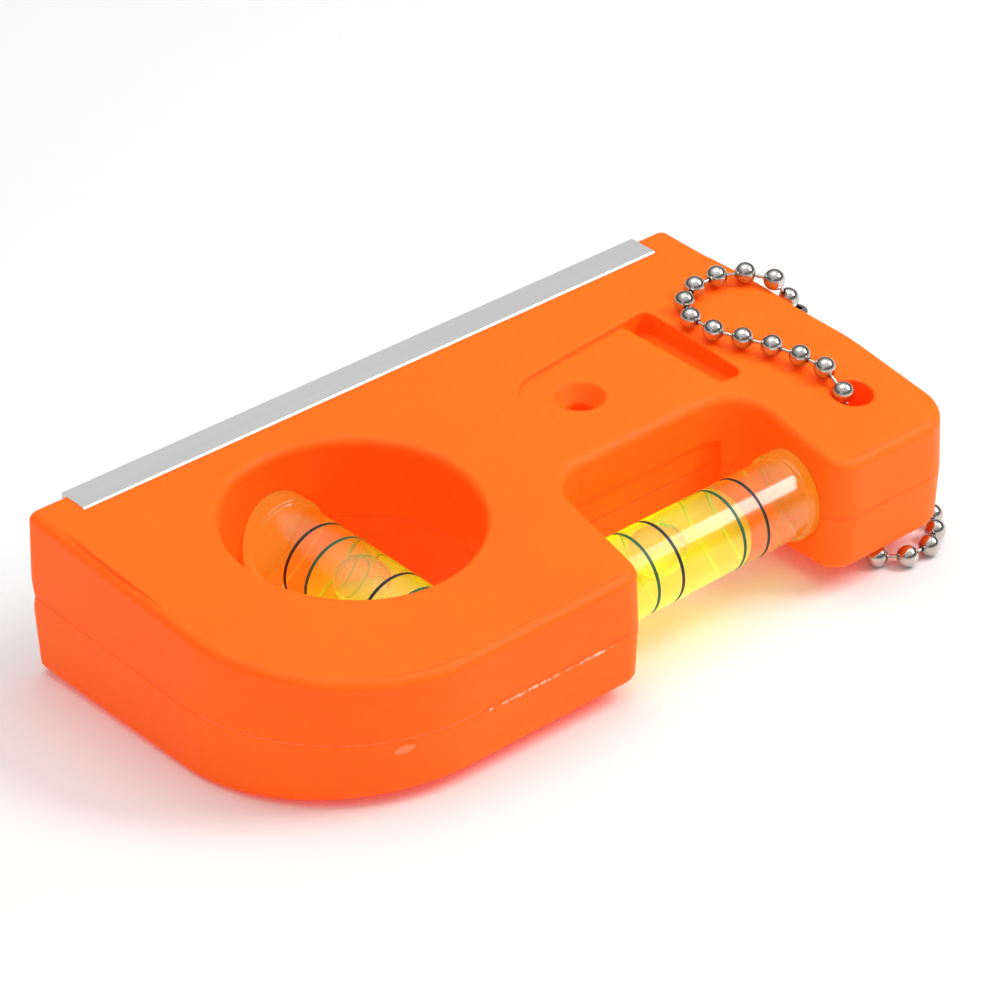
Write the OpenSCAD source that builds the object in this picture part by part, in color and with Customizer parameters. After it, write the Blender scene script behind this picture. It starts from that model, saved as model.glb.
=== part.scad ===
// Keychain level: a D-shaped body of two glued half shells with a metal rail along its base,
// a level vial across the front notch, a plumb vial across the round window and a loop of ball chain.
// Sizes are in millimetres. The base face lies on y = 0 and looks along +Y, x runs along the rail,
// and the seam between the half shells lies on z = 0.

/* [Body] */
// Depth from the base face to the front
body_depth = 45.8; // [42:0.1:52]
// Thickness at the base
body_thick = 18.6; // [16:0.1:24]
// Radius of the crown on the upper and lower faces
crown_r = 360; // [250:5:600]
// How far each half shell leans in from the seam to its face
draft = 0.4; // [0.1:0.05:0.8]
// Size of the broken edge around the faces
edge_r = 0.9; // [0.3:0.05:1.2]
// Wall thickness of the shells
wall = 2.2; // [1.6:0.1:3]
// Length of the end block left of the rail
left_block = 5.1; // [4:0.1:8]
// Length of the end block right of the rail
right_block = 4.5; // [4:0.1:8]
// How far the left end widens towards the front
left_flare = 0.4; // [0:0.1:2]
// How far the right end widens towards the front
right_flare = 0.6; // [0:0.1:2]
// Distance of the widest place of the right end from the front
flare_in = 16; // [12:0.5:20]
// Radius of the right end's curve at its widest place
flare_r = 40; // [30:1:50]
// How far the right end draws in again at its front corner
heel_in = 0.3; // [0:0.1:1.2]
// Radius of the front corner on the left
nose_r = 20; // [12:0.5:22]
// Radius of the front corner on the right
heel_r = 5; // [3:0.5:8]
// Radius of the two corners at the base
base_r = 1.5; // [1.4:0.1:3]

/* [Notch] */
// Place of the notch's middle along the rail
notch_x = 11.7; // [8:0.1:16]
// Width of the notch at its mouth
notch_mouth = 26.4; // [25:0.1:28]
// How far the notch's left side leans to the right over its depth
left_lean = 2.5; // [0:0.1:4]
// How far the notch's right side leans to the right over its depth
right_lean = 1.7; // [0:0.1:4]
// Depth of the notch from the front
notch_depth = 16.8; // [14:0.1:20]
// Radius of the notch's inner corners
notch_r = 4.4; // [3:0.1:6]
// Radius of the jaw corners at the notch's mouth
jaw_r = 2.8; // [1.5:0.1:4]
// Height of the shallow panel in the notch's back wall
panel_h = 6.2; // [4:0.1:8]
// Depth of that panel
panel_d = 0.35; // [0.2:0.05:0.8]
// Distance of the panel's ends from the sides of the notch
panel_in = 2.5; // [1.5:0.1:5]

/* [Window] */
// Radius of the round window at the seam
window_r = 12.85; // [10:0.05:14]
// Place of the window along the rail
window_x = -18.8; // [-24:0.1:-16]
// Place of the window's middle behind the base face
window_y = -21.5; // [-26:0.1:-20]

/* [Rail] */
// Length of the metal rail
rail_len = 77; // [70:0.5:90]
// Thickness of the rail
rail_t = 3.9; // [3:0.1:4.2]
// Bevel along the rail's inner edges
rail_bevel = 0.3; // [0.2:0.05:0.8]
// Width of the V-groove along the base face
groove_w = 9; // [5:0.1:10]
// Depth of the V-groove
groove_d = 1.6; // [0.5:0.05:2]
// Width of the tabs that hold the rail between the shells
tab_w = 8; // [6:0.5:10]
// Thickness of the tabs
tab_t = 2.4; // [1.6:0.1:3]
// How far the tabs reach behind the rail
tab_reach = 4.6; // [4.2:0.1:5]

/* [Vials] */
// Length of a vial with its plug
vial_len = 30; // [28.5:0.1:31]
// Outer radius of the barrel
vial_r = 4.45; // [4:0.05:4.8]
// Radius of the plug's collar
collar_r = 4.8; // [4.5:0.05:5.2]
// Length of the collar
collar_len = 2.5; // [2:0.1:3]
// Radius of the barrel's bore at its middle
bore_r = 3.3; // [2.9:0.05:3.5]
// Radius of the bow along the bore
bow_r = 300; // [200:10:600]
// Thickness of the closed end
vial_floor = 1.6; // [1:0.1:2.5]
// Length of the plug's spigot
spigot_len = 7.3; // [5:0.1:8]
// Distance from the middle of the marks to the inner pair of rings
ring_inner = 4.28; // [3.5:0.02:5]
// Distance from the middle of the marks to the outer pair of rings
ring_outer = 7.6; // [6.5:0.05:8.5]
// Width of a ring
ring_w = 0.36; // [0.2:0.02:0.6]
// Depth of a ring's groove
ring_d = 0.08; // [0.05:0.01:0.2]
// Distance of the level vial's axis from the front
level_in = 7.7; // [7.2:0.1:8.2]
// How far the plumb vial's middle lies in front of the window's middle
plumb_in = 1.7; // [1.2:0.1:2.4]
// Place of the middle of the marks along the level vial, from the vial's middle
level_marks = -0.9; // [-2:0.05:2]
// Place of the middle of the marks along the plumb vial, from the vial's middle
plumb_marks = -0.25; // [-2:0.05:2]
// Radius of a bubble
bubble_r = 1.9; // [1.4:0.05:2.1]
// Length of a bubble
bubble_len = 6.6; // [5:0.1:8]
// Place of the level bubble along its vial, from the vial's middle
level_bubble_at = -4.8; // [-8:0.1:6]
// Place of the plumb bubble along its vial, from the vial's middle
plumb_bubble_at = 0.3; // [-8:0.1:6]

/* [Clip seat] */
// Place of the screw hole along the rail
screw_x = 13; // [11:0.1:15]
// Place of the screw hole behind the base face
screw_y = -19.7; // [-21:0.1:-18]
// Radius of the screw hole
screw_r = 1.5; // [1:0.05:2]
// Radius of the countersink at the seat
sink_r = 2.85; // [2.2:0.05:3.2]
// Depth of the countersink
sink_d = 1.8; // [1:0.05:2.2]
// Length of the clip seat
seat_len = 22.2; // [18:0.1:23]
// Distance from the seat's left end to the screw hole
seat_nose = 5.9; // [4:0.1:7]
// Width of the seat at its right end
seat_w = 15.4; // [12:0.1:16]
// How much narrower the seat is at its left end
seat_taper = 4.6; // [3:0.1:7]
// Corner radius at the seat's right end
seat_r = 1.2; // [0.5:0.1:2]
// Depth of the seat at its back edge
seat_d = 0.6; // [0.3:0.05:0.8]
// Width of the slot at the seat's right end, with its rounded lip
slot_w = 4.7; // [3.5:0.1:5.5]
// Depth of the slot below the seat
slot_d = 2; // [1:0.1:3]
// Radius of the slot's lip
lip_r = 3; // [2:0.1:4]

/* [Chain] */
// Radius of the hole that the chain runs through
hole_r = 2.3; // [2.1:0.05:2.6]
// Distance of the chain hole from the right end
hole_side = 7.25; // [7:0.05:7.5]
// Distance of the chain hole from the front
hole_in = 9.05; // [8.8:0.05:9.3]
// Radius of a bead
bead_r = 1.2; // [1:0.02:1.24]
// Wall of a bead
bead_wall = 0.25; // [0.15:0.01:0.35]
// Distance from bead to bead
bead_pitch = 3.3; // [3.1:0.02:3.6]
// Radius of the wire links
wire_r = 0.2; // [0.14:0.01:0.22]
// Sheet thickness of the coupling
coupling_t = 0.32; // [0.25:0.01:0.4]
// Height of the coupling's upper bead above the seam
coupling_top = 3.7; // [3:0.1:4.5]
// Distance between the two beads in the coupling
coupling_len = 6.2; // [5.5:0.1:7]
// Width of the slit that a wire leaves the coupling by
slit_w = 0.8; // [0.6:0.05:1]

/* [Fits] */
// Gap around pieces that are clamped or glued
fit_gap = 0.05; // [0.03:0.01:0.1]
// Gap around pieces that move
move_gap = 0.15; // [0.1:0.01:0.25]
// Gap around the painted rings in their grooves
ring_gap = 0.02; // [0.01:0.01:0.05]
// Radius of the pegs that align the shells
peg_r = 1.1; // [0.8:0.05:1.3]
// How far a peg reaches into its socket
peg_len = 3; // [2:0.1:4]

/* [Hidden] */
$fn = 64;
half = body_thick / 2;
left_x = -rail_len / 2 - left_block;
right_x = rail_len / 2 + right_block;
body_len = right_x - left_x;
front_y = -body_depth;
notch_y = front_y + notch_depth;
notch_left = notch_x - notch_mouth / 2;
notch_right = notch_x + notch_mouth / 2;
arc_step = 6;
lean = draft / half;
blunt = edge_r / cos(11.25);
floor_lean = 0.0588;
floor_prop = 0.029;
level_x = notch_x;
level_y = front_y + level_in;
plumb_y = window_y - plumb_in;
hole_x = right_x - hole_side;
hole_y = front_y + hole_in;
tab_x = [-0.43, 0.05, 0.43] * rail_len;
tab_peg_y = -rail_t - tab_reach / 2;
boss_r = peg_r + 1.3;
peg_in = wall + boss_r + 0.3;
peg_at = [
    [left_x + peg_in, -rail_t - wall - peg_in],
    [left_x + nose_r * 0.45, front_y + nose_r * 0.45],
    [right_x - peg_in, -rail_t - wall - peg_in],
    [notch_right + right_lean / 2 + peg_in, front_y + peg_in]
];
bead_hole_r = wire_r + 0.1;
head_r = bead_hole_r + 0.06;
head_at = bead_r - bead_wall - head_r - 0.09;

// The outline at the seam, counter-clockwise: x, y and corner radius.
outline = [
    [left_x, 0, base_r],
    [left_x - left_flare, front_y, nose_r],
    [notch_left, front_y, jaw_r],
    [notch_left + left_lean, notch_y, notch_r],
    [notch_right + right_lean, notch_y, notch_r],
    [notch_right, front_y, jaw_r],
    [right_x - heel_in, front_y, heel_r],
    [right_x + right_flare, front_y + flare_in, flare_r],
    [right_x, 0, base_r]
];

// The clip seat's outline: x, y and corner radius.
seat_left = screw_x - seat_nose;
seat_right = seat_left + seat_len;
seat_left_w = seat_w - seat_taper;
seat_plan = [
    [seat_right, screw_y - seat_w / 2, seat_r],
    [seat_right, screw_y + seat_w / 2, seat_r],
    [seat_left, screw_y + seat_left_w / 2, seat_left_w * 0.45],
    [seat_left, screw_y - seat_left_w / 2, seat_left_w * 0.45]
];
seat_z = face_z(screw_y + seat_w / 2) - seat_d;
lip_rise = 0.05;

// The bow of the bore takes this much off its radius at the distance u from the middle.
function bow(u) = u * u / (2 * bow_r);
bore_from = -vial_len / 2 + vial_floor;
barrel_end = vial_len / 2 - collar_len;
bore_to = barrel_end - spigot_len;
spigot_r = bore_r - bow(barrel_end) - fit_gap;
bubble_lift = bore_r - bow(bore_from) - bubble_r - move_gap - 0.2;
bubble_from = bore_from + 0.6;
bubble_to = bore_to - 0.6;

function unit(v) = v / norm(v);
function left_of(v) = [-v[1], v[0]];
function flat(p) = [p[0], p[1]];

// Height of the crowned face above the seam.
function face_z(y) = half - y * y / (2 * crown_r);

// Height of the ground that the level lies on, leaning back on its lower face and propped by the chain.
function ground_z(x, y) =
    -half + floor_lean * floor_lean * crown_r / 2 - floor_lean * (y + floor_lean * crown_r)
    - floor_prop * (x - left_x);

// The corners moved inwards by d, with radii that keep the arcs concentric.
function inset(corners, d) = [
    for (i = [0 : len(corners) - 1])
        let (
            p = corners[i],
            from = unit(flat(p) - flat(corners[(i + len(corners) - 1) % len(corners)])),
            to = unit(flat(corners[(i + 1) % len(corners)]) - flat(p)),
            side = (left_of(from) + left_of(to)) / (1 + left_of(from) * left_of(to)) * d,
            r = cross(from, to) > 0 ? p[2] - d : p[2] + d
        )
        [p[0] + side[0], p[1] + side[1], max(r, 0.3)]
];

// The points of a closed path with its corners rounded.
function rounded(corners) = [
    for (i = [0 : len(corners) - 1])
        let (
            p = flat(corners[i]),
            r = corners[i][2],
            back = unit(flat(corners[(i + len(corners) - 1) % len(corners)]) - p),
            ahead = unit(flat(corners[(i + 1) % len(corners)]) - p),
            gap = acos(back * ahead),
            centre = p + unit(back + ahead) * r / sin(gap / 2),
            first = p + back * r / tan(gap / 2) - centre,
            turn = (cross(back, ahead) < 0 ? 1 : -1) * (180 - gap),
            start = atan2(first[1], first[0]),
            steps = max(2, round(abs(turn) / arc_step))
        )
        for (k = [0 : steps])
            centre + r * [cos(start + turn * k / steps), sin(start + turn * k / steps)]
];

// The paths that the edges follow, each with its inside on the left, and the way into the material.
seam_path = rounded(outline);
seam_inward = rounded(inset(outline, 1)) - seam_path;
window_inward = [
    for (a = [355 : -5 : 0])
        [cos(a), sin(a)]
];
window_path = [
    for (v = window_inward)
        [window_x, window_y] + window_r * v
];

// The section of what is cut off along an edge: how far into the material, and the height.
function edge_section(top) = [
    for (p = [
        [edge_r + blunt * cos(146.25), -edge_r + blunt * sin(146.25)],
        [edge_r + blunt * cos(123.75), -edge_r + blunt * sin(123.75)],
        [edge_r * (1 - tan(11.25)) + 0.3 * cos(22.5), 0.3 * sin(22.5)],
        [-1.5, 0.8]
    ])
        [p[0] + lean * top, p[1] + top]
];
function wall_section(top) = concat(
    [[-1.5, -1], [-lean, -1], [lean * (top - edge_r), top - edge_r * (1 - tan(11.25))]],
    edge_section(top)
);
function rim_section(top) = concat(
    [[lean * top - 0.5 * sin(22.5), top - edge_r * (1 - tan(11.25)) - 0.5 * cos(22.5)]],
    edge_section(top)
);

// A closed band along a path, with one section for each point of the path.
module band(path, inward, sections) {
    count = len(path);
    sides = len(sections[0]);
    points = [
        for (i = [0 : count - 1])
            for (p = sections[i])
                let (at = path[i] + inward[i] * p[0])
                [at[0], at[1], p[1]]
    ];
    faces = [
        for (i = [0 : count - 1])
            for (k = [0 : sides - 1])
                let (
                    a = i * sides + k,
                    b = i * sides + (k + 1) % sides,
                    c = (i + 1) % count * sides + (k + 1) % sides,
                    d = (i + 1) % count * sides + k
                )
                for (face = [[c, b, a], [d, c, a]])
                    face
    ];
    polyhedron(points, faces);
}

// Everything under the crowned face, lowered by drop.
module under_face(drop) {
    translate([left_x - 5, 0, half - drop - crown_r])
        rotate([0, 90, 0])
            cylinder(r = crown_r, h = body_len + 10, $fn = 720);
}

// Where one half is hollow, seen from above.
module hollow_plan() {
    difference() {
        polygon(rounded(inset(outline, wall)));
        translate([window_x, window_y])
            circle(window_r + wall);
        translate([-rail_len / 2 - wall, -rail_t - wall])
            square([rail_len + 2 * wall, rail_t + wall + 1]);
        translate([hole_x, hole_y])
            circle(hole_r + 1.7);
        translate([screw_x, screw_y])
            circle(sink_r + 1.2);
        translate([seat_right - slot_w, screw_y - seat_w / 2 - wall])
            square([slot_w + wall, seat_w + 2 * wall]);
        for (p = peg_at)
            translate(p)
                circle(boss_r);
        for (x = tab_x)
            translate([x - tab_w / 2 - wall, -rail_t - tab_reach - 1.5])
                square([tab_w + 2 * wall, tab_reach + 1.5]);
        translate([level_x - vial_len / 2 - 1.5, level_y - collar_r - 1.5])
            square([8, 2 * collar_r + 3]);
        translate([level_x + vial_len / 2 - 3, level_y - collar_r - 1.5])
            square([4.5, 2 * collar_r + 3]);
        translate([window_x - collar_r - 1.5, plumb_y - vial_len / 2 - 1.5])
            square([2 * collar_r + 3, 6]);
    }
}

// What both halves have: the shell with its openings and the seats of the rail and the vials.
module half_shell() {
    difference() {
        intersection() {
            linear_extrude(half + 1)
                polygon(rounded(inset(outline, -0.5)));
            under_face(0);
        }
        intersection() {
            translate([0, 0, -1])
                linear_extrude(half + 1)
                    hollow_plan();
            under_face(wall);
        }
        band(seam_path, seam_inward, [for (p = seam_path) wall_section(face_z(p[1]))]);
        translate([window_x, window_y, -1])
            cylinder(r1 = window_r - lean, r2 = window_r + lean * (half + 1), h = half + 2);
        band(window_path, window_inward, [for (p = window_path) rim_section(face_z(p[1]))]);
        translate([hole_x, hole_y, -1])
            cylinder(r = hole_r, h = half + 2);
        translate([-rail_len / 2 - fit_gap, -rail_t - fit_gap, -1])
            cube([rail_len + 2 * fit_gap, rail_t + 1, half + 2]);
        for (x = tab_x)
            translate([x - tab_w / 2 - fit_gap, -rail_t - tab_reach - fit_gap, -1])
                cube([tab_w + 2 * fit_gap, tab_reach + 1, tab_t / 2 + fit_gap + 1]);
        groove();
        translate([notch_left + left_lean + panel_in, notch_y - 1, -1])
            cube([notch_mouth + right_lean - left_lean - 2 * panel_in, panel_d + 1, panel_h / 2 + 1]);
        at_level()
            vial_seat();
        at_plumb()
            vial_seat();
    }
}

// The room that a vial takes in the shells.
module vial_seat() {
    translate([0, 0, -vial_len / 2 - fit_gap])
        cylinder(r = vial_r + fit_gap, h = vial_len / 2);
    translate([0, 0, barrel_end])
        cylinder(r = collar_r + fit_gap, h = collar_len + fit_gap);
}

// The V-groove along the base face.
module groove() {
    translate([left_x - 1, 0, 0])
        rotate([90, 0, 90])
            linear_extrude(body_len + 2)
                polygon([[1, groove_w / 2 * (1 + 1 / groove_d)], [-groove_d, 0],
                    [1, -groove_w / 2 * (1 + 1 / groove_d)]]);
}

// A vial's own axis is +Z, with the plug at its upper end, and -X is up on the level.
module at_level() {
    translate([level_x, level_y, 0])
        rotate([0, 90, 0])
            children();
}

module at_plumb() {
    translate([window_x, plumb_y, 0])
        rotate([0, 90, 90])
            children();
}

module upper_shell() {
    color("#ff7a1e") {
        difference() {
            half_shell();
            clip_seat();
            translate([screw_x, screw_y, -1])
                cylinder(r = screw_r, h = half + 2);
            translate([screw_x, screw_y, seat_z - sink_d])
                cylinder(r1 = screw_r, r2 = sink_r + (sink_r - screw_r) / sink_d, h = sink_d + 1);
        }
        for (p = peg_at)
            translate([p[0], p[1], -peg_len])
                cylinder(r = peg_r, h = peg_len + 0.5);
        for (x = tab_x)
            translate([x, tab_peg_y, -tab_t / 2 - peg_len])
                cylinder(r = peg_r, h = tab_t + peg_len + 0.5);
    }
}

// The flat seat of a belt clip around the screw hole, with a slot across its right end.
module clip_seat() {
    translate([0, 0, seat_z])
        linear_extrude(half)
            polygon(rounded(seat_plan));
    difference() {
        translate([0, 0, seat_z - slot_d])
            linear_extrude(half)
                intersection() {
                    polygon(rounded(seat_plan));
                    translate([seat_right - slot_w, screw_y - seat_w])
                        square([slot_w + 1, 2 * seat_w]);
                }
        translate([seat_right - slot_w, screw_y + seat_w, seat_z - lip_r + lip_rise])
            rotate([90, 0, 0])
                cylinder(r = lip_r, h = 2 * seat_w);
    }
}

module lower_shell() {
    color("#ff7a1e")
        difference() {
            mirror([0, 0, 1])
                half_shell();
            for (p = peg_at)
                translate([p[0], p[1], -peg_len - 0.3])
                    cylinder(r = peg_r + fit_gap, h = peg_len + 1);
            for (x = tab_x)
                translate([x, tab_peg_y, -tab_t / 2 - peg_len - 0.3])
                    cylinder(r = peg_r + fit_gap, h = peg_len + 1);
            translate([screw_x, screw_y, -5])
                cylinder(r = screw_r * 0.8, h = 6);
        }
}

module base_rail() {
    color("#c8cacc")
        difference() {
            union() {
                translate([-rail_len / 2, 0, 0])
                    rotate([90, 0, 90])
                        linear_extrude(rail_len)
                            polygon([[0, -half], [0, half], [-rail_t + rail_bevel, half],
                                [-rail_t, half - rail_bevel], [-rail_t, -half + rail_bevel],
                                [-rail_t + rail_bevel, -half]]);
                for (x = tab_x)
                    translate([x - tab_w / 2, -rail_t - tab_reach, -tab_t / 2])
                        cube([tab_w, tab_reach + 1, tab_t]);
            }
            groove();
            for (x = tab_x)
                translate([x, tab_peg_y, -tab_t])
                    cylinder(r = peg_r + fit_gap, h = 2 * tab_t);
        }
}

// The bowed bore, or what fills it, smaller by gap all round.
module bore(gap, from, to) {
    steps = 12;
    low = from + gap;
    high = to - gap;
    rotate_extrude()
        polygon(concat(
            [[0, high], [0, low]],
            [for (k = [0 : steps])
                let (u = low + (high - low) * k / steps)
                [bore_r - bow(u) - gap, u]]
        ));
}

module barrel(marks) {
    difference() {
        translate([0, 0, -vial_len / 2])
            cylinder(r = vial_r, h = barrel_end + vial_len / 2);
        bore(0, bore_from, barrel_end + 1);
        for (u = [-ring_outer, -ring_inner, ring_inner, ring_outer])
            ring(marks + u, ring_w + 2 * ring_gap, ring_d + ring_gap, 1);
    }
}

// A ring around the barrel: its place along the vial, width, depth, and how far it stands out.
module ring(u, w, d, out) {
    translate([0, 0, u - w / 2])
        difference() {
            cylinder(r = vial_r + out, h = w);
            translate([0, 0, -1])
                cylinder(r = vial_r - d, h = w + 2);
        }
}

module rings(places) {
    for (u = places)
        ring(u, ring_w, ring_d, 0);
}

module plug() {
    translate([0, 0, barrel_end])
        cylinder(r = collar_r, h = collar_len);
    translate([0, 0, bore_to])
        cylinder(r = spigot_r, h = spigot_len + 1);
}

module bubble(from, to, r) {
    translate([-bubble_lift, 0, 0]) {
        translate([0, 0, from + r])
            sphere(r);
        translate([0, 0, from + r])
            cylinder(r = r, h = to - from - 2 * r);
        translate([0, 0, to - r])
            sphere(r);
    }
}

// The liquid, with the way that the bubble can take left free up to the glass.
module liquid() {
    difference() {
        bore(fit_gap, bore_from, bore_to);
        bubble(bubble_from - move_gap, bubble_to + move_gap, bubble_r + move_gap);
        translate([-bore_r - 1, -bubble_r / 2, bubble_from + bubble_r])
            cube([bore_r + 1 - bubble_lift, bubble_r, bubble_to - bubble_from - 2 * bubble_r]);
    }
}

module bubble_at(u) {
    bubble(u - bubble_len / 2, u + bubble_len / 2, bubble_r);
}

module level_barrel() {
    color("#f2f4c8")
        at_level()
            barrel(level_marks);
}

module level_plug() {
    color("#e8ece0")
        at_level()
            plug();
}

module level_rings_black() {
    color("#181818")
        at_level()
            rings([level_marks - ring_inner, level_marks + ring_outer]);
}

module level_rings_green() {
    color("#1c5a30")
        at_level()
            rings([level_marks + ring_inner, level_marks - ring_outer]);
}

module level_liquid() {
    color("#f4f43c")
        at_level()
            liquid();
}

module level_bubble() {
    color("#fbfbe0")
        at_level()
            bubble_at(level_bubble_at);
}

module plumb_barrel() {
    color("#f2f4c8")
        at_plumb()
            barrel(plumb_marks);
}

module plumb_plug() {
    color("#e8ece0")
        at_plumb()
            plug();
}

module plumb_rings_black() {
    color("#181818")
        at_plumb()
            rings([plumb_marks - ring_inner, plumb_marks + ring_outer]);
}

module plumb_rings_green() {
    color("#1c5a30")
        at_plumb()
            rings([plumb_marks + ring_inner, plumb_marks - ring_outer]);
}

module plumb_liquid() {
    color("#f4f43c")
        at_plumb()
            liquid();
}

module plumb_bubble() {
    color("#fbfbe0")
        at_plumb()
            bubble_at(plumb_bubble_at);
}

// Chain points on the face, beside the right end, on the ground and in the hole.
function on_face(x, y, lift = 0) = [x, y, face_z(y) + bead_r + 0.1 + lift];
function beside(y, z, out = 0) = [right_x + right_flare + bead_r + 0.3 + out, y, z];
function on_ground(x, y) = [x, y, ground_z(x, y) + bead_r];
function in_hole(dx, dy, z) = [hole_x + dx, hole_y + dy, z];

// The way of the chain, from the upper end bead in the coupling to the lower one.
coupling_r = bead_r + move_gap + coupling_t;
coupling_y = hole_y + 18.6;
route = [
    beside(coupling_y, coupling_top, 0.4),
    beside(coupling_y + 0.3, half * 0.75),
    on_face(right_x + 0.3, hole_y + 19.5, -0.4),
    on_face(right_x - 1.2, hole_y + 21.6, -0.1),
    on_face(right_x - 4.2, hole_y + 23.2),
    on_face(hole_x - 0.3, hole_y + 23.3),
    on_face(hole_x - 3.3, hole_y + 21.9),
    on_face(hole_x - 5.2, hole_y + 19.1),
    on_face(hole_x - 5.1, hole_y + 16.1),
    on_face(hole_x - 3.9, hole_y + 13.3),
    on_face(hole_x - 2.4, hole_y + 10.2, 0.1),
    on_face(hole_x - 1.2, hole_y + 6.8, 0.1),
    on_face(hole_x - 0.7, hole_y + 3.4, 0.2),
    in_hole(-0.75, 0.2, face_z(hole_y) - 0.3),
    in_hole(-0.2, 0.1, half * 0.4),
    in_hole(0, 0.1, 0),
    in_hole(0, 0, -half * 0.55),
    in_hole(-0.6, -1.4, ground_z(hole_x, hole_y) + bead_r),
    on_ground(right_x - 9.2, front_y + 5),
    on_ground(right_x - 9.6, front_y + 1.8),
    on_ground(right_x - 7.2, front_y - 0.2),
    on_ground(right_x - 4, front_y - 0.1),
    on_ground(right_x - 1.2, front_y + 1.8),
    on_ground(right_x + 1.2, front_y + 4.8),
    on_ground(right_x + 2.2, front_y + 8.8),
    on_ground(right_x + 3.2, hole_y + 5),
    on_ground(right_x + 5.2, hole_y + 11),
    on_ground(right_x + 7.4, hole_y + 16.5),
    on_ground(right_x + 8.6, hole_y + 21),
    on_ground(right_x + 7.6, hole_y + 25.5),
    on_ground(right_x + 4.6, hole_y + 27),
    beside(hole_y + 25.6, -half * 1.1, 0.1),
    beside(hole_y + 22, -half * 0.92, 0.2),
    beside(coupling_y + 0.8, coupling_top - coupling_len - bead_pitch, 0.4),
    beside(coupling_y, coupling_top - coupling_len, 0.4)
];

// A smooth curve through b and c, with a and d as the points before and after.
function between(a, b, c, d, t) =
    b + t / 2 * (c - a + t * (2 * a - 5 * b + 4 * c - d + t * (3 * b - 3 * c + d - a)));

stretches = len(route) - 1;
curve = [
    for (i = [0 : stretches - 1])
        let (a = route[max(i - 1, 0)], d = route[min(i + 2, stretches)])
        for (k = [0 : i < stretches - 1 ? 7 : 8])
            between(a, route[i], route[i + 1], d, k / 8)
];
along = [
    for (
        i = 0, s = 0;
        i < len(curve);
        i = i + 1, s = s + (i < len(curve) ? norm(curve[i] - curve[i - 1]) : 0)
    )
        s
];

// The point of the curve at the length s.
function curve_at(s) = [
    for (axis = [0 : 2])
        lookup(s, [for (i = [0 : len(curve) - 1]) [along[i], curve[i][axis]]])
];

// The beads lie evenly along the curve, at the pitch nearest to the one asked for.
chain_len = along[len(along) - 1];
bead_count = round(chain_len / bead_pitch) + 1;
beads = [
    for (i = [0 : bead_count - 1])
        curve_at(i * chain_len / (bead_count - 1))
];

// Turns +Z towards v.
module towards(v) {
    rotate([0, acos(v[2] / norm(v)), atan2(v[1], v[0])])
        children();
}

// A hollow bead with a hole towards each neighbour, the poles of its sphere across the chain.
module bead(i) {
    neighbours = [for (k = [i - 1, i + 1]) if (k >= 0 && k < bead_count) k];
    way = beads[min(i + 1, bead_count - 1)] - beads[max(i - 1, 0)];
    translate(beads[i])
        difference() {
            towards(way)
                rotate([90, 0, 0])
                    difference() {
                        sphere(bead_r);
                        sphere(bead_r - bead_wall);
                    }
            for (k = neighbours)
                towards(beads[k] - beads[i])
                    translate([0, 0, bead_r / 2])
                        cylinder(r = bead_hole_r, h = bead_r);
        }
}

// A wire link with a head inside each of its two beads.
module link(i) {
    way = beads[i + 1] - beads[i];
    translate(beads[i])
        towards(way) {
            translate([0, 0, head_at])
                sphere(head_r);
            translate([0, 0, head_at])
                cylinder(r = wire_r, h = norm(way) - 2 * head_at);
            translate([0, 0, norm(way) - head_at])
                sphere(head_r);
        }
}

module chain_beads() {
    color("#c4c6ca")
        for (i = [0 : bead_count - 1])
            bead(i);
}

module chain_links() {
    color("#b4b6ba")
        for (i = [0 : bead_count - 2])
            link(i);
}

// A sleeve that holds both end beads. It turns on the upper bead, and the lower one leaves by the side
// that is open towards the body. Each end has a slit for the wire.
module chain_coupling() {
    inner = coupling_r - coupling_t;
    open_from = coupling_len - inner - 0.4;
    color("#c4c6ca")
        translate(beads[0])
            rotate([180, 0, 0])
                difference() {
                    translate([0, 0, -coupling_r])
                        cylinder(r = coupling_r, h = coupling_len + 2 * coupling_r);
                    translate([0, 0, -inner])
                        cylinder(r = inner, h = coupling_len + 2 * inner);
                    translate([-slit_w, -slit_w / 2, -coupling_r - 1])
                        cube([slit_w + inner, slit_w, coupling_r]);
                    translate([-coupling_r - 1, -inner - 0.02, open_from])
                        cube([coupling_r + 1, 2 * inner + 0.04, 2 * coupling_r + 2]);
                    translate([-coupling_r - 1, -inner, coupling_len + 0.9])
                        cube([coupling_r + 1 + slit_w / 2, 2 * inner, coupling_r]);
                }
}

upper_shell();
lower_shell();
base_rail();
level_barrel();
level_plug();
level_rings_black();
level_rings_green();
level_liquid();
level_bubble();
plumb_barrel();
plumb_plug();
plumb_rings_black();
plumb_rings_green();
plumb_liquid();
plumb_bubble();
chain_beads();
chain_links();
chain_coupling();
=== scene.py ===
import math

import bmesh
import bpy
from mathutils import Matrix, Vector, noise


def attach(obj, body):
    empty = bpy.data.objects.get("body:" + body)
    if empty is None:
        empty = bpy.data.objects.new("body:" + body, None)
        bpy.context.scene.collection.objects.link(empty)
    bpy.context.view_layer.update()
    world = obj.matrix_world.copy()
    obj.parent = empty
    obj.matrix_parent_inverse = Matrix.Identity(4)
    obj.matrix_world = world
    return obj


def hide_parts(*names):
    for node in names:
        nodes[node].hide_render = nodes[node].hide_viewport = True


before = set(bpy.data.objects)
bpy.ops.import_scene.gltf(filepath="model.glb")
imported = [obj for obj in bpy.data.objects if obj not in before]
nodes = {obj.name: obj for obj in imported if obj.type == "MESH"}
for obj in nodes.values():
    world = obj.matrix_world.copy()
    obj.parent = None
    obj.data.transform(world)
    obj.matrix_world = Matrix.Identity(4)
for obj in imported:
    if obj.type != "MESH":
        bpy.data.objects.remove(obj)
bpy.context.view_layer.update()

# Sizes and places are written in millimetres, angles in degrees and lamps in watts.
MM = 0.001

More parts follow.
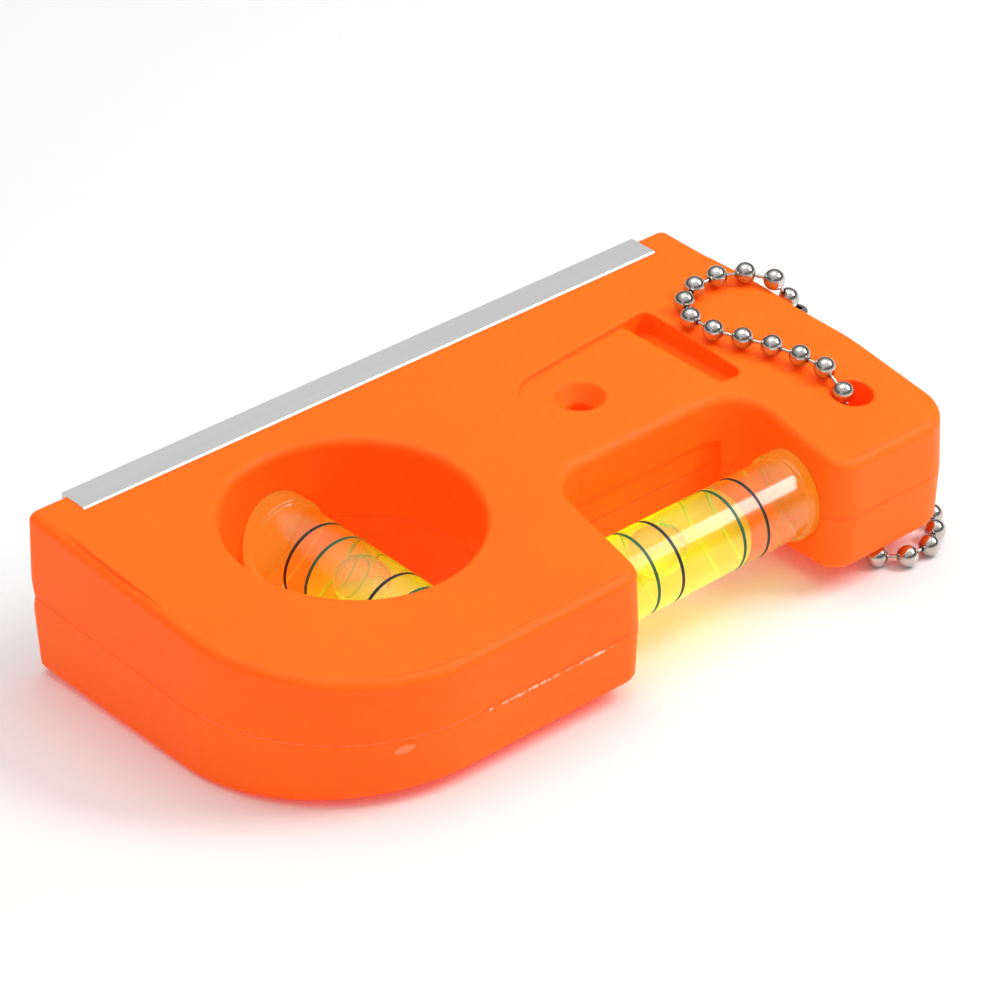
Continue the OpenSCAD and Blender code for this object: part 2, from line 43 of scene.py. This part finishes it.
# The photograph's view.
CAMERA_AT = Vector((-222.16, -278.93, 224.74))
CAMERA_HEADING = 40.855
CAMERA_PITCH = 33.20
CAMERA_ROLL = -0.42
CAMERA_LENS = 143.24
CAMERA_SENSOR = 36.0

# The ground that the level lies on: height at the origin, slope along x and y, and its edge.
GROUND_Z = -11.19
GROUND_SLOPE_X = -0.029
GROUND_SLOPE_Y = -0.0588
FLOOR_R = 2400.0
COVE_R = 600.0

# The strip lamp stands where the level vial mirrors it to the camera.
STRIP_WAY = Vector((0.579, -0.368, 0.728))
STRIP_ACROSS = Vector((0.0, 0.892, 0.451))
STRIP_DISTANCE = 500.0
STRIP_SIZE = (140.0, 270.0)
STRIP_POWER = 1.3
TOP_AT = Vector((50.0, 120.0, 800.0))
TOP_SIZE = (600.0, 500.0)
TOP_POWER = 1.4
LEFT_AT = Vector((-700.0, -350.0, 400.0))
LEFT_SIZE = (400.0, 400.0)
LEFT_POWER = 0.2
LAMPS_AIM = Vector((0.0, -20.0, 0.0))

# Brightness of the sky by its height, from the horizon at 0 to straight up at 1.
SKY = [(0.0, 0.04), (0.35, 0.10), (0.60, 0.42), (0.85, 0.90)]

# A painted red glow that the body and its glue give off, which keeps their shaded sides red.
PAINTED_GLOW_COLOUR = (1.0, 0.022, 0.0, 1.0)
PAINTED_GLOW_STRENGTH = 0.30

# Vials, along their own axis from their middle.
LEVEL_MIDDLE = Vector((11.7, -38.1, 0.0))
PLUMB_MIDDLE = Vector((-18.8, -23.2, 0.0))
VIAL_FROM = -15.0
VIAL_TO = 15.0
BARREL_R = 4.43
COLLAR_FROM = 12.5
COLLAR_R = 4.8
VIAL_EDGE_R = 0.18
BORE_FROM = -13.4
BORE_TO = 5.2
LEVEL_MARKS = -0.9
PLUMB_MARKS = -0.25
RING_INNER = 4.28
RING_OUTER = 7.6
RING_W = 0.36
RING_FROM_R = 4.37
RING_TO_R = 4.45

# The round barrel magnifies its bore, so the liquid is drawn at the width that it looks to have.
LIQUID_R = 4.25
LIQUID_BOW_R = 300.0
LIQUID_DOME = 1.6

# Bubbles: a higher bluntness gives fuller ends, and the film is the liquid left above the bubble.
LEVEL_BUBBLE_AT = -4.8
PLUMB_BUBBLE_AT = 0.3
BUBBLE_LEN = 6.4
BUBBLE_R = 2.5
BUBBLE_LIFT = 1.2
BUBBLE_BLUNTNESS = 2.3
BUBBLE_FILM = 0.06

# The seam runs around the nose's arc and then straight along the front.
NOSE_CENTRE = Vector((-23.83, -25.8))
NOSE_R = 20.0
NOSE_FROM = math.radians(182.0)
NOSE_TO = math.radians(270.0)

# How much the walls lean in, for each millimetre away from the seam.
DRAFT = 0.043

# Glue: length of a step along the seam, how far its edges lie in the wall, and its unevenness.
GLUE_STEP = 0.1
GLUE_SUNK = 0.02
GLUE_THINNEST = 0.012
GLUE_SWAY = 0.14

# Sides of a turned shape.
SEGMENTS = 96


def along_x(middle, u, side, up):
    """A point of a vial that lies along x: u along its axis, side and up around it."""
    return Vector((middle.x + u, middle.y + side, middle.z + up)) * MM


def along_y(middle, u, side, up):
    """A point of a vial that lies along y: u along its axis, side and up around it."""
    return Vector((middle.x - side, middle.y + u, middle.z + up)) * MM


def on_ground(middle, u, side, up):
    """A point u above the sloping ground, where side and up run along the ground."""
    lean = GROUND_SLOPE_X * side + GROUND_SLOPE_Y * up
    return Vector((middle.x + side, middle.y + up, middle.z + lean + u)) * MM


# Shader parts

def new_material(name):
    mat = bpy.data.materials.new(name)
    mat.use_nodes = True
    return mat, mat.node_tree, mat.node_tree.nodes["Principled BSDF"]


def set_inputs(node, **values):
    for name, value in values.items():
        node.inputs[name.replace("_", " ")].default_value = value


def noise_texture(tree, scale, detail=3.0, stretch=(1.0, 1.0, 1.0)):
    coord = tree.nodes.new("ShaderNodeTexCoord")
    mapping = tree.nodes.new("ShaderNodeMapping")
    mapping.inputs["Scale"].default_value = stretch
    texture = tree.nodes.new("ShaderNodeTexNoise")
    set_inputs(texture, Scale=scale, Detail=detail)
    tree.links.new(coord.outputs["Object"], mapping.inputs["Vector"])
    tree.links.new(mapping.outputs["Vector"], texture.inputs["Vector"])
    return texture.outputs["Fac"]


def height(tree, space):
    """The z coordinate in the named space."""
    coord = tree.nodes.new("ShaderNodeTexCoord")
    split = tree.nodes.new("ShaderNodeSeparateXYZ")
    tree.links.new(coord.outputs[space], split.inputs["Vector"])
    return split.outputs["Z"]


def ramp(tree, source, stops):
    node = tree.nodes.new("ShaderNodeValToRGB")
    elements = node.color_ramp.elements
    while len(elements) < len(stops):
        elements.new(0.5)
    for element, (at, colour) in zip(elements, stops):
        element.position = at
        element.color = (*colour, 1.0)
    tree.links.new(source, node.inputs["Fac"])
    return node.outputs["Color"]


def spread(tree, source, low, high, source_from=0.0, source_to=1.0):
    """The source's range stretched to run from low to high."""
    node = tree.nodes.new("ShaderNodeMapRange")
    set_inputs(node, From_Min=source_from, From_Max=source_to, To_Min=low, To_Max=high)
    tree.links.new(source, node.inputs["Value"])
    return node.outputs["Result"]


def larger(tree, one, two):
    node = tree.nodes.new("ShaderNodeMath")
    node.operation = "MAXIMUM"
    tree.links.new(one, node.inputs[0])
    tree.links.new(two, node.inputs[1])
    return node.outputs[0]


def soft_edges(tree, radius):
    """Normals that round off sharp edges, for the finest wear that the mesh doesn't hold."""
    node = tree.nodes.new("ShaderNodeBevel")
    node.samples = 6
    set_inputs(node, Radius=radius)
    return node.outputs["Normal"]


def add_bump(tree, shader, source, strength, distance, normal=None):
    node = tree.nodes.new("ShaderNodeBump")
    set_inputs(node, Strength=strength, Distance=distance)
    tree.links.new(source, node.inputs["Height"])
    if normal:
        tree.links.new(normal, node.inputs["Normal"])
    tree.links.new(node.outputs["Normal"], shader.inputs["Normal"])


# Materials

def orange_plastic():
    """A dense orange plastic with a painted red glow, which keeps its shaded sides red."""
    mat, tree, shader = new_material("orange_plastic")
    clouds = noise_texture(tree, 55.0)
    colour = ramp(tree, clouds, [(0.3, (0.98, 0.158, 0.006)), (0.7, (1.0, 0.180, 0.008))])
    tree.links.new(colour, shader.inputs["Base Color"])
    grain = noise_texture(tree, 1400.0, 4.0)
    tree.links.new(spread(tree, grain, 0.42, 0.56), shader.inputs["Roughness"])
    add_bump(tree, shader, grain, 0.10, 0.05 * MM, soft_edges(tree, 0.6 * MM))
    shader.subsurface_method = "RANDOM_WALK"
    set_inputs(shader, Subsurface_Weight=0.4, Subsurface_Scale=1.6 * MM, IOR=1.49, Specular_IOR_Level=0.18)
    set_inputs(shader, Subsurface_Radius=(1.0, 0.16, 0.04))
    # Painted light: a red glow given off everywhere, lifting the shaded sides.
    set_inputs(shader, Emission_Color=PAINTED_GLOW_COLOUR, Emission_Strength=PAINTED_GLOW_STRENGTH)
    return mat


def rail_metal():
    """Satin metal with fine lines along the rail."""
    mat, tree, shader = new_material("rail_metal")
    lines = noise_texture(tree, 420.0, 5.0, (0.03, 1.0, 1.0))
    colour = ramp(tree, lines, [(0.3, (0.72, 0.715, 0.715)), (0.7, (0.80, 0.795, 0.795))])
    tree.links.new(colour, shader.inputs["Base Color"])
    tree.links.new(spread(tree, lines, 0.34, 0.46), shader.inputs["Roughness"])
    add_bump(tree, shader, lines, 0.10, 0.08 * MM)
    set_inputs(shader, Metallic=0.55)
    return mat


def clear_acrylic():
    """Acrylic that bends little light against its liquid, with a faint painted yellow-green glow standing
    in for the liquid's light inside it.
    """
    mat, tree, shader = new_material("clear_acrylic")
    haze = noise_texture(tree, 300.0)
    tree.links.new(spread(tree, haze, 0.0, 0.03), shader.inputs["Roughness"])
    set_inputs(shader, Base_Color=(0.95, 0.92, 0.42, 1.0), Transmission_Weight=1.0, IOR=1.10)
    # Painted glow: a faint yellow-green light given off by the acrylic itself.
    set_inputs(shader, Emission_Color=(0.25, 1.0, 0.05, 1.0), Emission_Strength=0.06)
    set_inputs(shader, Coat_Weight=1.0, Coat_Roughness=0.17, Coat_IOR=1.68)
    return mat


def yellow_liquid(name, glow):
    """A yellow liquid with a painted glow, brightest in its lower half as painted light from the pale
    floor, and set stronger or weaker for each vial.
    """
    mat, tree, shader = new_material(name)
    swirl = noise_texture(tree, 120.0)
    colour = ramp(tree, swirl, [(0.3, (0.88, 0.80, 0.05)), (0.7, (0.94, 0.86, 0.08))])
    tree.links.new(colour, shader.inputs["Base Color"])
    # Painted light: the glow runs from bright yellow at the bottom to dim green at the top.
    rise = spread(tree, height(tree, "Object"), 0.0, 1.0, -LIQUID_R * MM, LIQUID_R * MM)
    light = ramp(tree, rise, [(0.25, (0.76, 1.0, 0.05)), (0.75, (0.10, 0.32, 0.03))])
    tree.links.new(light, shader.inputs["Emission Color"])
    set_inputs(shader, Roughness=0.0, Transmission_Weight=1.0, IOR=1.01, Emission_Strength=glow)
    return mat


def bubble_air():
    """Air with a painted bluish glow standing in for the sky's light, and a painted dark rim standing in
    for the light it turns back at its edges.
    """
    mat, tree, shader = new_material("bubble_air")
    rim = tree.nodes.new("ShaderNodeLayerWeight")
    # Painted shade: the colour darkens to brown towards the grazing rim.
    colour = ramp(tree, rim.outputs["Facing"], [(0.0, (0.92, 0.84, 0.80)), (0.74, (0.86, 0.76, 0.70)),
                                                (0.92, (0.30, 0.22, 0.08)), (1.0, (0.16, 0.11, 0.04))])
    tree.links.new(colour, shader.inputs["Base Color"])
    film = noise_texture(tree, 200.0)
    tree.links.new(spread(tree, film, 0.0, 0.02), shader.inputs["Roughness"])
    set_inputs(shader, Transmission_Weight=1.0, IOR=0.89)
    # Painted glow: a faint bluish light given off by the bubble.
    set_inputs(shader, Emission_Color=(0.55, 0.45, 1.0, 1.0), Emission_Strength=0.08)
    return mat


def ring_paint(name, dark, light):
    mat, tree, shader = new_material(name)
    colour = ramp(tree, noise_texture(tree, 900.0), [(0.35, dark), (0.7, light)])
    tree.links.new(colour, shader.inputs["Base Color"])
    set_inputs(shader, Roughness=0.5)
    return mat


def ring_underside_glow():
    """The paint seen from inside the vial, painted pale amber with a painted glow that stands in for the
    light reaching it through the liquid.
    """
    mat, tree, shader = new_material("ring_underside_glow")
    # Painted light: the underside is amber and glows, where the paint itself is black or green.
    colour = ramp(tree, noise_texture(tree, 900.0), [(0.35, (0.50, 0.26, 0.04)), (0.7, (0.60, 0.34, 0.06))])
    tree.links.new(colour, shader.inputs["Base Color"])
    set_inputs(shader, Roughness=0.6, Emission_Color=(0.60, 0.30, 0.04, 1.0), Emission_Strength=0.3)
    return mat


def nickel():
    """Bright nickel plate, a little tarnished."""
    mat, tree, shader = new_material("nickel")
    tarnish = noise_texture(tree, 700.0, 4.0)
    colour = ramp(tree, tarnish, [(0.3, (0.50, 0.46, 0.42)), (0.7, (0.68, 0.65, 0.61))])
    tree.links.new(colour, shader.inputs["Base Color"])
    tree.links.new(spread(tree, tarnish, 0.08, 0.20), shader.inputs["Roughness"])
    set_inputs(shader, Metallic=1.0)
    return mat


def glue(name, thin, thick):
    """The glue squeezed out along the seam, paler where it is thick, with the plastic's painted red glow in
    it.
    """
    mat, tree, shader = new_material(name)
    patches = noise_texture(tree, 700.0, 5.0)
    colour = ramp(tree, patches, [(0.35, thin), (0.66, thick)])
    tree.links.new(colour, shader.inputs["Base Color"])
    tree.links.new(spread(tree, patches, 0.2, 0.45), shader.inputs["Roughness"])
    set_inputs(shader, Specular_IOR_Level=0.5)
    # The same painted red glow as the body.
    set_inputs(shader, Emission_Color=PAINTED_GLOW_COLOUR, Emission_Strength=PAINTED_GLOW_STRENGTH)
    return mat


def floor_white():
    """A pale floor that is lifted to white where it is seen, also in metal and through glass."""
    mat, tree, shader = new_material("floor_white")
    path = tree.nodes.new("ShaderNodeLightPath")
    mirrored = larger(tree, path.outputs["Is Glossy Ray"], path.outputs["Is Transmission Ray"])
    seen = larger(tree, path.outputs["Is Camera Ray"], mirrored)
    tree.links.new(spread(tree, seen, 0.0, 0.04), shader.inputs["Emission Strength"])
    set_inputs(shader, Base_Color=(0.94, 0.94, 0.94, 1.0), Roughness=0.7)
    set_inputs(shader, Emission_Color=(1.0, 1.0, 1.0, 1.0))
    return mat


def make_materials():
    return {
        "orange": orange_plastic(),
        "rail": rail_metal(),
        "acrylic": clear_acrylic(),
        # Lit and shaded copies of the liquid: the painted glow is weaker in the plumb vial, which sits in
        # the shaded window.
        "level_liquid": yellow_liquid("level_liquid", 0.37),
        "plumb_liquid": yellow_liquid("plumb_liquid", 0.15),
        "air": bubble_air(),
        "nickel": nickel(),
        "glowing_underside": ring_underside_glow(),
        "clear_glue": glue("clear_glue", (1.0, 0.20, 0.03), (1.0, 0.27, 0.08)),
        "pale_glue": glue("pale_glue", (1.0, 0.24, 0.06), (1.0, 0.62, 0.42)),
        "black": ring_paint("ring_black", (0.008, 0.008, 0.009), (0.02, 0.02, 0.022)),
        "green": ring_paint("ring_green", (0.010, 0.10, 0.035), (0.02, 0.16, 0.055)),
    }


# Meshes

def join_rings(bm, rings, turns):
    """Faces between neighbouring rings of points. A ring of one point is a tip."""
    faces = []
    for low, high in zip(rings, rings[1:]):
        for k in range(turns):
            corners = [low[k % len(low)], low[(k + 1) % len(low)]]
            corners += [high[(k + 1) % len(high)], high[k % len(high)]]
            faces.append(bm.faces.new(list(dict.fromkeys(corners))))
    return faces


def to_mesh(name, bm):
    bmesh.ops.recalc_face_normals(bm, faces=bm.faces)
    mesh = bpy.data.meshes.new(name)
    bm.to_mesh(mesh)
    bm.free()
    return mesh


def mesh_object(name, mesh, *mats, body="level", slot=None, smooth=True):
    obj = bpy.data.objects.new(name, mesh)
    bpy.context.scene.collection.objects.link(obj)
    for mat in mats:
        mesh.materials.append(mat)
    for polygon in mesh.polygons:
        polygon.use_smooth = smooth
    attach(obj, body)
    return obj


def lathe(name, profile, place, middle):
    """A shape of revolution: profile is (radius, u), and from axis to axis it is a closed solid."""
    bm = bmesh.new()
    turns = [2.0 * math.pi * k / SEGMENTS for k in range(SEGMENTS)]
    rings = []
    for r, u in profile:
        around = turns if r else turns[:1]
        rings.append([bm.verts.new(place(middle, u, r * math.sin(a), r * math.cos(a))) for a in around])
    join_rings(bm, rings, SEGMENTS)
    return to_mesh(name, bm)


def round_off(points, edge):
    """A profile with all its corners rounded."""
    steps = 4
    rounded = [points[0]]
    for before, at, after in zip(points, points[1:], points[2:]):
        at = Vector(at)
        start = at + (Vector(before) - at).normalized() * edge
        end = at + (Vector(after) - at).normalized() * edge
        for k in range(steps + 1):
            t = k / steps
            rounded.append(tuple(start.lerp(at, t).lerp(at.lerp(end, t), t)))
    return rounded + [points[-1]]


# Vials

def vial_profile():
    """The closed barrel and the collar of its plug, which are joined clear."""
    corners = [(0.0, VIAL_FROM), (BARREL_R, VIAL_FROM), (BARREL_R, COLLAR_FROM),
               (COLLAR_R, COLLAR_FROM), (COLLAR_R, VIAL_TO), (0.0, VIAL_TO)]
    return round_off(corners, VIAL_EDGE_R)


def liquid_radius(u):
    return LIQUID_R - u * u / (2.0 * LIQUID_BOW_R)


def liquid_profile():
    """The bowed fill, with a rounded end towards the plug."""
    bow_steps, dome_steps = 24, 8
    dome_from = BORE_TO - LIQUID_DOME
    us = [BORE_FROM + (dome_from - BORE_FROM) * k / bow_steps for k in range(bow_steps + 1)]
    points = [(0.0, BORE_FROM)] + [(liquid_radius(u), u) for u in us]
    core = liquid_radius(dome_from) - LIQUID_DOME
    for k in range(1, dome_steps):
        a = math.pi / 2.0 * k / dome_steps
        points.append((core + LIQUID_DOME * math.cos(a), dome_from + LIQUID_DOME * math.sin(a)))
    return points + [(0.0, BORE_TO)]


def ring_bands(name, places, place, middle):
    """Thin painted bands around the barrel. Their inner faces take the second material."""
    bm = bmesh.new()
    for at in places:
        low, high = at - RING_W / 2.0, at + RING_W / 2.0
        section = [(RING_FROM_R, low), (RING_TO_R, low), (RING_TO_R, high), (RING_FROM_R, high)]
        loops = []
        for k in range(SEGMENTS):
            a = 2.0 * math.pi * k / SEGMENTS
            side, up = math.sin(a), math.cos(a)
            loops.append([bm.verts.new(place(middle, u, r * side, r * up)) for r, u in section])
        faces = join_rings(bm, loops + loops[:1], len(section))
        for face in faces[len(section) - 1::len(section)]:
            face.material_index = 1
    return to_mesh(name, bm)


def bubble_mesh(name, place, middle, at):
    """A bubble that lies against the top of the bore."""
    rows, turns = 28, 40
    bm = bmesh.new()
    rings = []
    for i in range(rows + 1):
        s = -math.cos(math.pi * i / rows)
        r = BUBBLE_R * (1.0 - abs(s) ** BUBBLE_BLUNTNESS) ** 0.5
        u = at + s * BUBBLE_LEN / 2.0
        limit = liquid_radius(u) - BUBBLE_FILM
        ring = []
        for k in range(turns if 0 < i < rows else 1):
            a = 2.0 * math.pi * k / turns
            side, up = r * math.sin(a), BUBBLE_LIFT + r * math.cos(a)
            reach = math.hypot(side, up)
            if reach > limit:
                side, up = side * limit / reach, up * limit / reach
            ring.append(bm.verts.new(place(middle, u, side, up)))
        rings.append(ring)
    join_rings(bm, rings, turns)
    return to_mesh(name, bm)


def make_vial(name, place, middle, marks, bubble_at, mats):
    clear = lathe(name + "_clear", vial_profile(), place, middle)
    clear = mesh_object(name + "_clear", clear, mats["acrylic"], slot="clear_acrylic")
    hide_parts(name + "_barrel", name + "_plug")
    for paint, places in (("black", (marks - RING_INNER, marks + RING_OUTER)),
                          ("green", (marks + RING_INNER, marks - RING_OUTER))):
        node = name + "_rings_" + paint
        rings = ring_bands(node + "_paint", places, place, middle)
        rings = mesh_object(node + "_paint", rings, mats[paint], mats["glowing_underside"], smooth=False)
        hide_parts(node)
    liquid = lathe(name + "_liquid_fill", liquid_profile(), place, middle)
    liquid = mesh_object(name + "_liquid_fill", liquid, mats[name + "_liquid"], slot="yellow_liquid")
    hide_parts(name + "_liquid")
    bubble = bubble_mesh(name + "_bubble_air", place, middle, bubble_at)
    bubble = mesh_object(name + "_bubble_air", bubble, mats["air"], body=name + "_bubble", slot="air")
    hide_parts(name + "_bubble")


# Glue on the seam

def seam_point(s):
    """A point of the seam, s along it from the start of the nose's arc, and the way out of the wall."""
    arc = NOSE_R * (NOSE_TO - NOSE_FROM)
    if s < arc:
        a = NOSE_FROM + s / NOSE_R
        out = Vector((math.cos(a), math.sin(a)))
        return NOSE_CENTRE + NOSE_R * out, out
    return Vector((NOSE_CENTRE.x + s - arc, NOSE_CENTRE.y - NOSE_R)), Vector((0.0, -1.0))


def glue_ribbon(name, start, end, half_height, bulge, break_at, drop, seed):
    """A thin uneven line of glue along the seam, pinched to nothing where the noise is low."""
    section = 5
    bm = bmesh.new()
    rows = []
    for i in range(int((end - start) / GLUE_STEP) + 1):
        s = start + GLUE_STEP * i
        patches = noise.noise(Vector((s * 0.7, seed, 0.0)))
        crumbs = noise.noise(Vector((s * 3.1, seed, 3.0)))
        fill = min(1.0, max(0.0, (patches + 0.7 * crumbs - break_at) * 2.2))
        width = half_height * fill + GLUE_THINNEST
        middle = GLUE_SWAY * noise.noise(Vector((s * 1.3, seed, 7.0))) - drop
        at, out = seam_point(s)
        row = []
        for k in range(section):
            a = math.pi * k / (section - 1)
            stands = bulge * width / half_height * math.sin(a) - GLUE_SUNK - DRAFT * abs(middle)
            place = at + out * stands
            row.append(bm.verts.new(Vector((place.x, place.y, middle + width * math.cos(a))) * MM))
        rows.append(row)
    join_rings(bm, rows, section)
    bm.faces.new(rows[0])
    bm.faces.new(rows[-1])
    return to_mesh(name, bm)


def glue_drop(name, s, z, half_length, half_height, bulge, slant):
    """A flat drop of glue on the wall below the seam, higher at its far end by the slant."""
    rows, turns = 6, 32
    bm = bmesh.new()
    rings = []
    for i in range(rows + 1):
        t = i / rows
        ring = []
        for k in range(turns if i else 1):
            a = 2.0 * math.pi * k / turns
            wave = 1.0 + 0.18 * noise.noise(Vector((math.cos(a) * 1.5, math.sin(a) * 1.5, 2.0)))
            at, out = seam_point(s + half_length * t * wave * math.cos(a))
            up = z + half_height * t * wave * math.sin(a) + slant * half_length * t * math.cos(a)
            place = at + out * (bulge * (1.0 - t * t) - GLUE_SUNK - DRAFT * abs(up))
            ring.append(bm.verts.new(Vector((place.x, place.y, up)) * MM))
        rings.append(ring)
    join_rings(bm, rings, turns)
    bm.faces.new(rings[-1])
    return to_mesh(name, bm)


def make_glue(mats):
    front = glue_ribbon("seam_glue_front", start=32.5, end=48.5, half_height=0.21, bulge=0.08,
                        break_at=-0.3, drop=0.35, seed=4.0)
    mesh_object("seam_glue_front", front, mats["pale_glue"])
    nose = glue_ribbon("seam_glue_nose", start=2.0, end=31.5, half_height=0.06, bulge=0.03,
                       break_at=-0.6, drop=0.0, seed=9.0)
    mesh_object("seam_glue_nose", nose, mats["clear_glue"])
    drop = glue_drop("seam_glue_drop", s=23.0, z=-1.25, half_length=1.1, half_height=0.55,
                     bulge=0.12, slant=0.12)
    mesh_object("seam_glue_drop", drop, mats["clear_glue"])


def paint_nodes(mats):
    wanted = {
        "upper_shell": "orange", "lower_shell": "orange", "base_rail": "rail",
        "chain_beads": "nickel", "chain_links": "nickel", "chain_coupling": "nickel",
    }
    for vial in ("level", "plumb"):
        wanted.update({
            vial + "_barrel": "acrylic", vial + "_plug": "acrylic",
            vial + "_liquid": vial + "_liquid", vial + "_bubble": "air",
            vial + "_rings_black": "black", vial + "_rings_green": "green",
        })
    for node, mat in wanted.items():
        for slot in nodes[node].material_slots:
            slot.material = mats[mat]


# Stage

def floor_profile():
    """A wide floor whose edge curves up, so that a low view ends on it."""
    steps = 24
    turns = [math.pi / 2.0 * k / steps for k in range(steps + 1)]
    return [(0.0, 0.0)] + [(FLOOR_R + COVE_R * math.sin(a), COVE_R - COVE_R * math.cos(a)) for a in turns]


def make_floor():
    mesh = lathe("floor", floor_profile(), on_ground, Vector((0.0, 0.0, GROUND_Z)))
    mesh.materials.append(floor_white())
    floor = bpy.data.objects.new("floor", mesh)
    bpy.context.scene.collection.objects.link(floor)


def make_camera():
    data = bpy.data.cameras.new("camera")
    data.lens = CAMERA_LENS
    data.sensor_width = CAMERA_SENSOR
    data.clip_start = 10.0 * MM
    camera = bpy.data.objects.new("camera", data)
    bpy.context.scene.collection.objects.link(camera)
    turn = Matrix.Rotation(math.radians(-CAMERA_HEADING), 4, "Z")
    tilt = Matrix.Rotation(math.radians(90.0 - CAMERA_PITCH), 4, "X")
    roll = Matrix.Rotation(math.radians(CAMERA_ROLL), 4, "Z")
    camera.matrix_world = Matrix.Translation(CAMERA_AT * MM) @ turn @ tilt @ roll
    bpy.context.scene.camera = camera


def area_light(name, at, turn, size, power):
    data = bpy.data.lights.new(name, "AREA")
    data.shape = "RECTANGLE"
    data.size = size[0] * MM
    data.size_y = size[1] * MM
    data.energy = power
    lamp = bpy.data.objects.new(name, data)
    bpy.context.scene.collection.objects.link(lamp)
    lamp.location = at * MM
    lamp.rotation_euler = turn.to_euler()


def aimed(at):
    return (LAMPS_AIM - at).to_track_quat("-Z", "Y")


def make_lights():
    strip_turn = Matrix((STRIP_ACROSS.cross(STRIP_WAY), STRIP_ACROSS, STRIP_WAY)).transposed()
    strip_at = LEVEL_MIDDLE + STRIP_DISTANCE * STRIP_WAY
    area_light("strip_light", strip_at, strip_turn, STRIP_SIZE, STRIP_POWER)
    area_light("top_light", TOP_AT, aimed(TOP_AT), TOP_SIZE, TOP_POWER)
    area_light("left_light", LEFT_AT, aimed(LEFT_AT), LEFT_SIZE, LEFT_POWER)


def make_world():
    """Bright overhead and dim towards the horizon, so that the nickel has something to mirror."""
    world = bpy.data.worlds.new("world")
    world.use_nodes = True
    tree = world.node_tree
    greys = [(at, (grey, grey, grey)) for at, grey in SKY]
    colour = ramp(tree, height(tree, "Generated"), greys)
    background = tree.nodes["Background"]
    tree.links.new(colour, background.inputs["Color"])
    background.inputs["Strength"].default_value = 1.0
    bpy.context.scene.world = world


def build():
    mats = make_materials()
    make_camera()
    make_world()
    make_lights()
    make_floor()
    paint_nodes(mats)
    make_vial("level", along_x, LEVEL_MIDDLE, LEVEL_MARKS, LEVEL_BUBBLE_AT, mats)
    make_vial("plumb", along_y, PLUMB_MIDDLE, PLUMB_MARKS, PLUMB_BUBBLE_AT, mats)
    make_glue(mats)
    bpy.context.scene.view_settings.view_transform = "Standard"


build()
